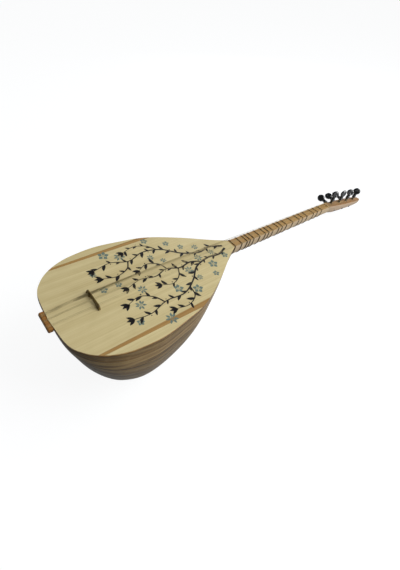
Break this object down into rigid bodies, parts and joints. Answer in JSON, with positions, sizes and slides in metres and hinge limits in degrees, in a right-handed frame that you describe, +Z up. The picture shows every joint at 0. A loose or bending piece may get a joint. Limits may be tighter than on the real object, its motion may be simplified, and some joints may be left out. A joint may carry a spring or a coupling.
{
  "type": "long-neck baglama",
  "caption": "Pear-shaped lute lying on its back: a bowl of bent ribs, a flat soundboard, a long slender neck with tied frets, and a swept-back head with turning pegs.",
  "frame": {"origin": "on the floor under the middle of the bounding box", "axes": "+Y runs along the instrument from the tail to the peg head, +X to the treble side, +Z up; the instrument lies on its back on the bowl and the tip of the head"},
  "size_m": [0.2436, 1.0778, 0.2389],
  "materials": {
    "walnut": "glossy clear varnish",
    "inner_wood": "bare, sanded",
    "dark_wood": "satin",
    "strip_wood": "satin clear varnish",
    "spruce": "satin clear varnish",
    "neck_wood": "satin clear varnish",
    "bone": "bone, polished",
    "nylon": "drawn line",
    "black_wood": "black, polished",
    "steel": "drawn wire, bare and wound"
  },
  "bodies": {
    "instrument": {"bowl_rib_1": "walnut", "bowl_rib_2": "walnut", "bowl_rib_3": "walnut", "bowl_rib_4": "walnut", "bowl_rib_5": "walnut", "bowl_rib_6": "walnut", "bowl_rib_7": "walnut", "bowl_rib_8": "walnut", "bowl_rib_9": "walnut", "tail_block": "inner_wood", "neck_block": "inner_wood", "string_holder": "dark_wood", "strip_treble": "strip_wood", "wing_treble": "spruce", "strip_bass": "strip_wood", "wing_bass": "spruce", "soundboard_centre": "spruce", "neck": "neck_wood", "peg_head": "neck_wood", "nut": "bone", "string_bass_1": "steel", "string_bass_2": "steel", "string_bass_3": "steel", "string_middle_1": "steel", "string_middle_2": "steel", "string_treble_1": "steel", "string_treble_2": "steel"},
    "bridge_body": {"bridge": "dark_wood"},
    "fret_01_body": {"fret_01": "nylon"},
    "fret_02_body": {"fret_02": "nylon"},
    "fret_03_body": {"fret_03": "nylon"},
    "fret_04_body": {"fret_04": "nylon"},
    "fret_05_body": {"fret_05": "nylon"},
    "fret_06_body": {"fret_06": "nylon"},
    "fret_07_body": {"fret_07": "nylon"},
    "fret_08_body": {"fret_08": "nylon"},
    "fret_09_body": {"fret_09": "nylon"},
    "fret_10_body": {"fret_10": "nylon"},
    "fret_11_body": {"fret_11": "nylon"},
    "fret_12_body": {"fret_12": "nylon"},
    "fret_13_body": {"fret_13": "nylon"},
    "fret_14_body": {"fret_14": "nylon"},
    "fret_15_body": {"fret_15": "nylon"},
    "fret_16_body": {"fret_16": "nylon"},
    "fret_17_body": {"fret_17": "nylon"},
    "fret_18_body": {"fret_18": "nylon"},
    "fret_19_body": {"fret_19": "nylon"},
    "peg_front_1_body": {"peg_front_1": "black_wood"},
    "peg_front_2_body": {"peg_front_2": "black_wood"},
    "peg_front_3_body": {"peg_front_3": "black_wood"},
    "peg_front_4_body": {"peg_front_4": "black_wood"},
    "peg_side_1_body": {"peg_side_1": "black_wood"},
    "peg_side_2_body": {"peg_side_2": "black_wood"},
    "peg_side_3_body": {"peg_side_3": "black_wood"}
  },
  "joints": [
    {"name": "bridge_slide", "type": "slide", "parent": "instrument", "child": "bridge_body", "axis": [0, 0.985, -0.1723], "range_m": [-0.0015, 0.0015]},
    {"name": "fret_01_slide", "type": "slide", "parent": "instrument", "child": "fret_01_body", "axis": [0, 0.9823, -0.1872], "range_m": [-0.003, 0.003]},
    {"name": "fret_02_slide", "type": "slide", "parent": "instrument", "child": "fret_02_body", "axis": [0, 0.9823, -0.1872], "range_m": [-0.003, 0.003]},
    {"name": "fret_03_slide", "type": "slide", "parent": "instrument", "child": "fret_03_body", "axis": [0, 0.9823, -0.1872], "range_m": [-0.003, 0.003]},
    {"name": "fret_04_slide", "type": "slide", "parent": "instrument", "child": "fret_04_body", "axis": [0, 0.9823, -0.1872], "range_m": [-0.003, 0.003]},
    {"name": "fret_05_slide", "type": "slide", "parent": "instrument", "child": "fret_05_body", "axis": [0, 0.9823, -0.1872], "range_m": [-0.003, 0.003]},
    {"name": "fret_06_slide", "type": "slide", "parent": "instrument", "child": "fret_06_body", "axis": [0, 0.9823, -0.1872], "range_m": [-0.003, 0.003]},
    {"name": "fret_07_slide", "type": "slide", "parent": "instrument", "child": "fret_07_body", "axis": [0, 0.9823, -0.1872], "range_m": [-0.003, 0.003]},
    {"name": "fret_08_slide", "type": "slide", "parent": "instrument", "child": "fret_08_body", "axis": [0, 0.9823, -0.1872], "range_m": [-0.003, 0.003]},
    {"name": "fret_09_slide", "type": "slide", "parent": "instrument", "child": "fret_09_body", "axis": [0, 0.9823, -0.1872], "range_m": [-0.003, 0.003]},
    {"name": "fret_10_slide", "type": "slide", "parent": "instrument", "child": "fret_10_body", "axis": [0, 0.9823, -0.1872], "range_m": [-0.003, 0.003]},
    {"name": "fret_11_slide", "type": "slide", "parent": "instrument", "child": "fret_11_body", "axis": [0, 0.9823, -0.1872], "range_m": [-0.003, 0.003]},
    {"name": "fret_12_slide", "type": "slide", "parent": "instrument", "child": "fret_12_body", "axis": [0, 0.9823, -0.1872], "range_m": [-0.003, 0.003]},
    {"name": "fret_13_slide", "type": "slide", "parent": "instrument", "child": "fret_13_body", "axis": [0, 0.9823, -0.1872], "range_m": [-0.003, 0.003]},
    {"name": "fret_14_slide", "type": "slide", "parent": "instrument", "child": "fret_14_body", "axis": [0, 0.9823, -0.1872], "range_m": [-0.003, 0.003]},
    {"name": "fret_15_slide", "type": "slide", "parent": "instrument", "child": "fret_15_body", "axis": [0, 0.9823, -0.1872], "range_m": [-0.003, 0.003]},
    {"name": "fret_16_slide", "type": "slide", "parent": "instrument", "child": "fret_16_body", "axis": [0, 0.9823, -0.1872], "range_m": [-0.003, 0.003]},
    {"name": "fret_17_slide", "type": "slide", "parent": "instrument", "child": "fret_17_body", "axis": [0, 0.9823, -0.1872], "range_m": [-0.003, 0.003]},
    {"name": "fret_18_slide", "type": "slide", "parent": "instrument", "child": "fret_18_body", "axis": [0, 0.9823, -0.1872], "range_m": [-0.003, 0.003]},
    {"name": "fret_19_slide", "type": "slide", "parent": "instrument", "child": "fret_19_body", "axis": [0, 0.9823, -0.1872], "range_m": [-0.0015, 0.003]},
    {"name": "peg_front_1_turn", "type": "hinge", "parent": "instrument", "child": "peg_front_1_body", "pos_m": [-0.0025, 0.34009, 0.07426], "axis": [0, 0.3089, 0.9511], "continuous": true},
    {"name": "peg_front_2_turn", "type": "hinge", "parent": "instrument", "child": "peg_front_2_body", "pos_m": [0, 0.39144, 0.05758], "axis": [0, 0.3089, 0.9511], "continuous": true},
    {"name": "peg_front_3_turn", "type": "hinge", "parent": "instrument", "child": "peg_front_3_body", "pos_m": [0.0005, 0.43995, 0.04183], "axis": [0, 0.3089, 0.9511], "continuous": true},
    {"name": "peg_front_4_turn", "type": "hinge", "parent": "instrument", "child": "peg_front_4_body", "pos_m": [0.001, 0.48941, 0.02576], "axis": [0, 0.3089, 0.9511], "continuous": true},
    {"name": "peg_side_1_turn", "type": "hinge", "parent": "instrument", "child": "peg_side_1_body", "pos_m": [-0.0125, 0.35475, 0.05468], "axis": [-0.9848, 0.0536, 0.1652], "continuous": true},
    {"name": "peg_side_2_turn", "type": "hinge", "parent": "instrument", "child": "peg_side_2_body", "pos_m": [-0.01348, 0.40568, 0.03991], "axis": [-0.9848, 0.0536, 0.1652], "continuous": true},
    {"name": "peg_side_3_turn", "type": "hinge", "parent": "instrument", "child": "peg_side_3_body", "pos_m": [-0.0132, 0.45469, 0.0257], "axis": [-0.9848, 0.0536, 0.1652], "continuous": true}
  ]
}
